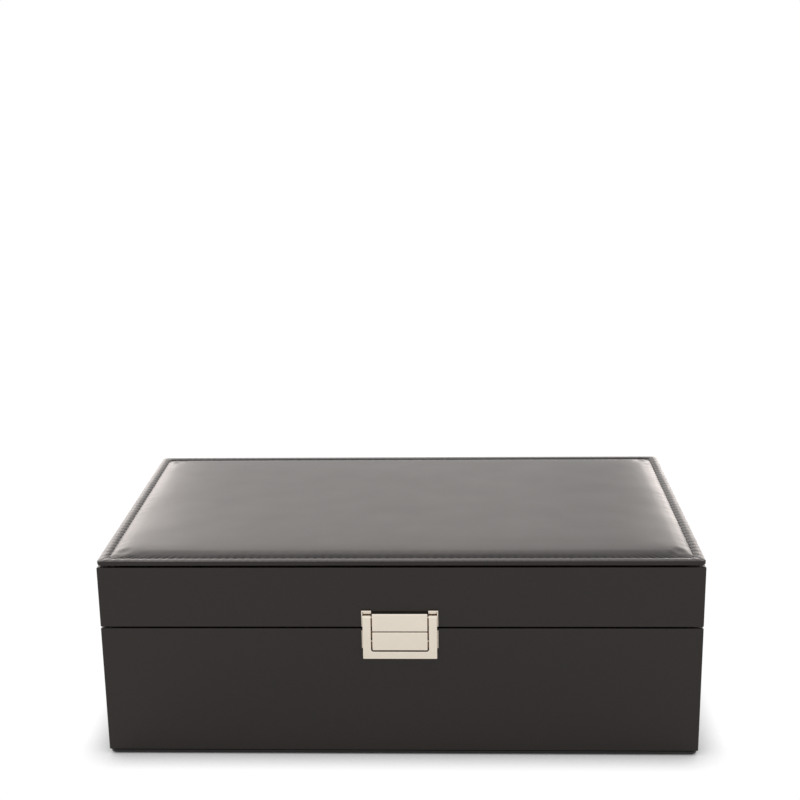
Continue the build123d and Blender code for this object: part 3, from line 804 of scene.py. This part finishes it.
def patch(points, first, across, deep):
    """Fills a ring of points, which starts at a corner and goes round, with a grid of quads."""
    ring = [np.array(points[first + k]) for k in range(2 * (across + deep))]

    def ring_index(i, j):
        if j == 0:
            return i
        if i == across:
            return across + j
        if j == deep:
            return across + deep + (across - i)
        return 2 * (across + deep) - j

    index = {}
    for i in range(across + 1):
        for j in range(deep + 1):
            u, v = i / across, j / deep
            if i in (0, across) or j in (0, deep):
                index[i, j] = first + ring_index(i, j) % len(ring)
                continue
            front, back = ring[i], ring[ring_index(i, deep)]
            left, right = ring[ring_index(0, j)], ring[ring_index(across, j)]
            corners = ring[0], ring[across], ring[across + deep], ring[2 * across + deep]
            spot = (1 - v) * front + v * back + (1 - u) * left + u * right
            shares = (1 - u) * (1 - v), u * (1 - v), u * v, (1 - u) * v
            index[i, j] = len(points)
            points.append(tuple(spot - sum(w * corner for w, corner in zip(shares, corners))))
    return [
        (index[i, j], index[i + 1, j], index[i + 1, j + 1], index[i, j + 1])
        for i in range(across)
        for j in range(deep)
    ]


# ---- Operators: one for each piece or group of like pieces


class JEWELBOX_OT_finishes(bpy.types.Operator):
    """Make the finishes and give every CAD node the one that its slot names"""

    bl_idname = "jewelbox.finishes"
    bl_label = "Finishes"

    def execute(self, context):
        shades = context.scene.jewelbox_finish
        made = {
            "black_leatherette": leatherette_finish(shades.leatherette),
            "thread": thread_finish(shades.thread),
            "black_board": board_finish("black_board", shades.board, 0.5 * MM, 0.02 * MM, 0.42),
            "black_suede": suede_finish("black_suede", shades.felt),
            "fibreboard": board_finish("fibreboard", shades.fibreboard, 0.7 * MM, 0.06 * MM, 0.75),
            "lining_suede": suede_finish("lining_suede", shades.suede),
            "roll_suede": suede_finish("roll_suede", shades.rolls, nap=1.2),
            "pull_ribbon": ribbon_finish(shades.ribbon),
            "pale_nickel": nickel_finish(shades.nickel),
            "hinge_steel": steel_finish(shades.steel),
            "mirror": mirror_finish(),
            "foam": foam_finish(shades.foam),
        }
        for row in frame["record"]["subparts"]:
            node = frame["nodes"][row["node"]]
            for slot in node.material_slots:
                slot.material = made[row["material_slot"]]
            if not node.material_slots:
                node.data.materials.append(made[row["material_slot"]])
        return {"FINISHED"}


class JEWELBOX_OT_padded_top(bpy.types.Operator):
    """Model the padded leatherette top with its rolled rim, stitched crease and crown"""

    bl_idname = "jewelbox.padded_top"
    bl_label = "Padded top"

    def execute(self, context):
        points, faces = pad_mesh(context.scene.jewelbox_pad)
        piece = smoothed(built("padded_top", points, faces))
        dressed(piece, "black_leatherette", "lid")
        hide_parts("cap_cover", "cap_foam")
        return {"FINISHED"}


class JEWELBOX_OT_stitching(bpy.types.Operator):
    """Sew the crease of the padded top, stitch by stitch"""

    bl_idname = "jewelbox.stitching"
    bl_label = "Stitching"

    LIFT = 0.05 * MM  # of the thread's middle above the crease
    SLANT = 0.07  # of each stitch to the crease, in radians
    DIVE = 0.4 * MM  # of the thread's ends into their holes

    def execute(self, context):
        pad = context.scene.jewelbox_pad
        shape = PadShape(pad)
        one = self.one_stitch(pad)
        per = shape.PER_STITCH
        columns = shape.columns
        seam = bmesh.new()
        for k in range(0, len(columns), per):
            ends = columns[k], columns[(k + per) % len(columns)]
            start, end = (
                Vector((*shape.point(end, pad.crease_inset, shape.RIM_FAN), 0)) for end in ends
            )
            along = end - start
            turn = math.atan2(along.y, along.x)
            middle = (start + end) / 2
            middle.z = shape.rim - pad.crease_depth + self.LIFT
            fit = along.length / (one.dimensions.x + pad.stitch_gap)
            before = len(seam.verts)
            seam.from_mesh(one.data)
            seam.verts.ensure_lookup_table()
            placed = Matrix.Translation(middle) @ Matrix.Rotation(turn + self.SLANT, 4, "Z")
            placed = placed @ Matrix.Diagonal((fit, 1, 1, 1))
            bmesh.ops.transform(seam, matrix=placed, verts=seam.verts[before:])
        mesh = bpy.data.meshes.new("cap_stitches")
        seam.to_mesh(mesh)
        seam.free()
        bpy.data.objects.remove(one)
        piece = bpy.data.objects.new("cap_stitches", mesh)
        context.scene.collection.objects.link(piece)
        dressed(piece, "black_thread", "lid")
        return {"FINISHED"}

    def one_stitch(self, pad):
        """A stitch lying along X: a thread that rises from one hole and dives into the next."""
        stitch = added("cylinder", vertices=8, radius=pad.thread / 2, depth=pad.stitch)
        stitch.rotation_euler = (0, math.pi / 2, 0)
        settled(stitch, "one_stitch")
        bpy.ops.object.mode_set(mode="EDIT")
        pick(stitch, "edges", lambda edge: abs(edge.verts[0].co.x - edge.verts[1].co.x) > MM)
        bpy.ops.mesh.subdivide(number_cuts=5)
        bpy.ops.mesh.select_all(action="DESELECT")
        bpy.ops.object.mode_set(mode="OBJECT")
        half = pad.stitch / 2
        for vertex in stitch.data.vertices:
            reach = vertex.co.x / half
            vertex.co.y *= 1 - 0.25 * reach**4
            vertex.co.z = vertex.co.z * (1 - 0.25 * reach**4) - self.DIVE * reach**4
            vertex.co.x = half * math.copysign(abs(reach) ** 0.85, reach)
        twist = stitch.data.uv_layers.active
        twist.name = "twist"
        for loop in stitch.data.loops:
            place = stitch.data.vertices[loop.vertex_index].co
            around = math.atan2(place.z, place.y) / (2 * math.pi)
            twist.data[loop.index].uv = (place.x / MM * 0.5 + around, around)
        return smoothed(stitch)


class JEWELBOX_OT_turned_edge(bpy.types.Operator):
    """Turn the lid's leatherette in over its rim, down to the lining"""

    bl_idname = "jewelbox.turned_edge"
    bl_label = "Turned edge"

    def execute(self, context):
        pad = context.scene.jewelbox_pad
        thick = pad.turned_skin
        low = Vector((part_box("lid_liner_left")[0].x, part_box("lid_liner_front")[0].y, 0))
        low.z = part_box("lid_wrap")[0].z + pad.skin / 2
        high = Vector((-low.x, -low.y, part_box("lid_liner_left")[0].z))
        strip = added("plane", size=1, location=(0, 0, low.z))
        strip.scale = (high.x - low.x, high.y - low.y, 1)
        settled(strip, "lid_turned_edge")
        bpy.ops.object.mode_set(mode="EDIT")
        bpy.ops.mesh.select_all(action="SELECT")
        bpy.ops.mesh.inset(thickness=thick)
        bpy.ops.mesh.delete(type="FACE")
        bpy.ops.mesh.select_all(action="SELECT")
        bpy.ops.mesh.extrude_region_move(TRANSFORM_OT_translate={"value": (0, 0, high.z - low.z)})
        faced_out()
        bevelled(strip, thick * 0.4, 2, 1.0)
        bpy.ops.object.shade_smooth_by_angle(angle=math.radians(50))
        dressed(strip, "black_leatherette", "lid")
        return {"FINISHED"}


class JEWELBOX_OT_ring_rolls(bpy.types.Operator):
    """Stuff the padded rolls that hold rings in the tray"""

    bl_idname = "jewelbox.ring_rolls"
    bl_label = "Ring rolls"

    def execute(self, context):
        tray = context.scene.jewelbox_tray
        low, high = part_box("tray_ring_rolls")
        width = (high.y - low.y - (tray.rolls - 1) * tray.roll_gap) / tray.rolls
        first = self.one_roll(low, high, width, tray)
        pieces = [first]
        for number in range(1, tray.rolls):
            copy = first.copy()
            copy.data = first.data.copy()
            context.scene.collection.objects.link(copy)
            copy.data.transform(Matrix.Translation((0, number * (width + tray.roll_gap), 0)))
            pieces.append(copy)
        for number, piece in enumerate(pieces):
            piece.name = f"ring_roll_{number + 1}"
            piece.data.name = piece.name
            dressed(piece, "roll_suede", "tray")
            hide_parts("tray_ring_rolls")
        return {"FINISHED"}

    @staticmethod
    def one_roll(low, high, width, tray):
        """The roll nearest the tray's long divider."""
        centre = Vector(((low.x + high.x) / 2, low.y + width / 2, (low.z + high.z) / 2))
        roll = added("cube", size=1, location=centre)
        slack = 2 * tray.roll_slack
        roll.scale = (high.x - low.x - slack, width - slack, high.z - low.z - tray.roll_slack)
        roll.location.z -= tray.roll_slack / 2
        settled(roll, "ring_roll_1")
        bpy.ops.object.mode_set(mode="EDIT")
        pick(roll, "faces", lambda face: abs(face.normal.x) > 0.9)
        bpy.ops.mesh.inset(thickness=1.2 * MM)
        bpy.ops.mesh.select_all(action="DESELECT")
        bpy.ops.object.mode_set(mode="OBJECT")
        bevelled(roll, 1.1 * MM, 3, 0.7)
        applied(roll, "REMESH", mode="VOXEL", voxel_size=1.6 * MM, use_smooth_shade=True)
        applied(roll, "SMOOTH", factor=0.5, iterations=3)
        stuffed(roll, 1.2 * tray.roll_slack)
        for vertex in roll.data.vertices:
            vertex.co.z = max(vertex.co.z, low.z)
            vertex.co.y = min(max(vertex.co.y, centre.y - width / 2), centre.y + width / 2)
        applied(roll, "SUBSURF", levels=1, render_levels=1)
        return smoothed(roll)


class JEWELBOX_OT_pull_tab(bpy.types.Operator):
    """Fold the ribbon loop that the tray is pulled by"""

    bl_idname = "jewelbox.pull_tab"
    bl_label = "Pull tab"

    def execute(self, context):
        ribbon = context.scene.jewelbox_tray.ribbon
        low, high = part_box("tray_pull_tab")
        inner = low.x + ribbon / 2
        outer = high.x - ribbon / 2
        belly = (outer - inner) / 2
        fold = high.z - ribbon / 2 - belly
        middle = (inner + outer) / 2
        path = [(inner, low.z), (inner, low.z + 0.5 * (fold - low.z)), (inner, fold)]
        for step in range(1, 8):
            turn = math.pi * step / 8
            path.append((middle - belly * math.cos(turn), fold + belly * math.sin(turn)))
        pinch = inner + ribbon * 1.15
        path += [(outer, fold), (outer - 0.1 * (outer - pinch), fold - 3 * MM)]
        path += [(pinch + 0.15 * (outer - pinch), fold - 6 * MM)]
        path += [(pinch, fold - 8 * MM), (pinch, low.z)]
        tab = settled(added("plane", size=1, location=(0, (low.y + high.y) / 2, 0)), "pull_tab")
        bpy.ops.object.mode_set(mode="EDIT")
        cage = bmesh.from_edit_mesh(tab.data)
        for vertex in cage.verts:
            vertex.co.y = low.y if vertex.co.y < (low.y + high.y) / 2 else high.y
            spot = path[0] if vertex.co.x < 0 else path[1]
            vertex.co.x, vertex.co.z = spot
            vertex.select = spot == path[1]
        for edge in cage.edges:
            edge.select = all(v.select for v in edge.verts)
        for face in cage.faces:
            face.select = False
        bmesh.update_edit_mesh(tab.data)
        for before, after in zip(path[1:], path[2:]):
            bpy.ops.mesh.extrude_region_move(
                TRANSFORM_OT_translate={"value": (after[0] - before[0], 0, after[1] - before[1])}
            )
        faced_out()
        applied(tab, "SOLIDIFY", thickness=ribbon, offset=0)
        bevelled(tab, 0.12 * MM, 2, 1.0)
        applied(tab, "SUBSURF", levels=1, render_levels=1, subdivision_type="SIMPLE")
        bpy.ops.object.shade_smooth_by_angle(angle=math.radians(50))
        dressed(tab, "pull_ribbon", "tray")
        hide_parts("tray_pull_tab")
        return {"FINISHED"}


class JEWELBOX_OT_stage(bpy.types.Operator):
    """Set the floor, the white surroundings, the soft lights and the camera"""

    bl_idname = "jewelbox.stage"
    bl_label = "Stage"

    def execute(self, context):
        stage = context.scene.jewelbox_stage
        self.floor(stage)
        self.surroundings(context.scene, stage)
        for name, place, size, glow, mirrored in LAMPS:
            self.softbox(context.scene, name, Vector(place), size, glow, mirrored)
        self.camera(context.scene, stage)
        context.scene.view_settings.view_transform = "Standard"
        return {"FINISHED"}

    @staticmethod
    def floor(stage):
        """White to the camera, with a soft shadow round the box's foot, and matte to the rest."""

        def glowing(f, strength):
            sockets = {"Color": (1, 1, 1, 1), "Strength": strength}
            return f.node("Emission", sockets=sockets)

        floor = settled(added("plane", size=14, location=(0, 0, -0.05 * MM)), "floor")
        f = Finish("white_floor")
        seen = f.node("LightPath", output="Is Camera Ray")
        mirrored = f.node("LightPath", output="Is Glossy Ray")
        reach = {"Distance": stage.contact}
        open_sky = f.node("AmbientOcclusion", {"samples": 6}, reach, "AO")
        grey = f.node("BsdfDiffuse", sockets={"Color": (*[stage.floor_grey] * 3, 1)})
        gleam = glowing(f, mirrored * open_sky * stage.floor_gleam)
        matte = f.node("AddShader", sockets={0: grey, 1: gleam})
        white = glowing(f, open_sky**1.15 * 1.03)
        both = f.node("MixShader", sockets={"Fac": seen, 1: matte, 2: white})
        below = f.node("NewGeometry", output="Backfacing")
        clear = f.node("BsdfTransparent")
        both = f.node("MixShader", sockets={"Fac": below, 1: both, 2: clear})
        floor.data.materials.append(f.output(both))

    @staticmethod
    def surroundings(scene, stage):
        """White to the camera and in reflections, and softer as light on matte surfaces."""
        f = Finish("white_surroundings", "World")
        kinds = ("Is Camera Ray", "Is Glossy Ray", "Is Transmission Ray")
        paths = [f.node("LightPath", output=kind) for kind in kinds]
        seen = paths[0] + paths[1] + paths[2]
        strength = seen * (1 - stage.ambient) + stage.ambient
        sky = f.node("Background", sockets={"Color": (1, 1, 1, 1), "Strength": strength})
        scene.world = f.output(sky)

    @staticmethod
    def softbox(scene, name, place, size, glow, mirrored):
        """A soft area lamp of that radiance, turned to the box and unseen by the camera."""
        lamp = bpy.data.lights.new(name, "AREA")
        lamp.shape = "RECTANGLE"
        lamp.size, lamp.size_y = size
        lamp.color = LAMP_COLOUR
        lamp.energy = glow * math.pi * size[0] * size[1]
        light = bpy.data.objects.new(name, lamp)
        scene.collection.objects.link(light)
        light.location = place
        light.rotation_euler = (LAMP_TARGET - place).to_track_quat("-Z", "Y").to_euler()
        light.visible_camera = False
        light.visible_glossy = mirrored

    @staticmethod
    def camera(scene, stage):
        """The photograph's camera, fitted to the box's edges in it."""
        lens = bpy.data.cameras.new("camera")
        lens.lens = stage.focal
        lens.sensor_width = 36.0
        lens.clip_start = 0.01
        camera = bpy.data.objects.new("camera", lens)
        scene.collection.objects.link(camera)
        turn = Matrix.Rotation(-stage.yaw, 4, "Z")
        turn = turn @ Matrix.Rotation(math.pi / 2 - stage.pitch, 4, "X")
        turn = turn @ Matrix.Rotation(stage.roll, 4, "Z")
        camera.matrix_world = Matrix.Translation(stage.eye) @ turn
        scene.camera = camera


class JEWELBOX_PT_panel(bpy.types.Panel):
    """Lists the box's pieces and their settings"""

    bl_label = "Jewellery Box"
    bl_idname = "JEWELBOX_PT_panel"
    bl_space_type = "VIEW_3D"
    bl_region_type = "UI"
    bl_category = "Jewellery Box"

    def draw(self, context):
        layout = self.layout
        for step in STEPS:
            layout.operator(step.bl_idname)
        for name in GROUPS:
            box = layout.box()
            settings = getattr(context.scene, name)
            for setting in settings.__annotations__:
                box.prop(settings, setting)


GROUPS = {
    "jewelbox_pad": JEWELBOX_PG_pad,
    "jewelbox_tray": JEWELBOX_PG_tray,
    "jewelbox_finish": JEWELBOX_PG_finish,
    "jewelbox_stage": JEWELBOX_PG_stage,
}
STEPS = (
    JEWELBOX_OT_finishes,
    JEWELBOX_OT_padded_top,
    JEWELBOX_OT_stitching,
    JEWELBOX_OT_turned_edge,
    JEWELBOX_OT_ring_rolls,
    JEWELBOX_OT_pull_tab,
    JEWELBOX_OT_stage,
)


def register():
    for kind in (*GROUPS.values(), *STEPS, JEWELBOX_PT_panel):
        bpy.utils.register_class(kind)
    for name, kind in GROUPS.items():
        setattr(bpy.types.Scene, name, PointerProperty(type=kind))


def unregister():
    for name in GROUPS:
        delattr(bpy.types.Scene, name)
    for kind in (JEWELBOX_PT_panel, *reversed(STEPS), *reversed(GROUPS.values())):
        bpy.utils.unregister_class(kind)


def main():
    register()
    bpy.ops.jewelbox.finishes()
    bpy.ops.jewelbox.padded_top()
    bpy.ops.jewelbox.stitching()
    bpy.ops.jewelbox.turned_edge()
    bpy.ops.jewelbox.ring_rolls()
    bpy.ops.jewelbox.pull_tab()
    bpy.ops.jewelbox.stage()


if __name__ == "__main__":
    main()
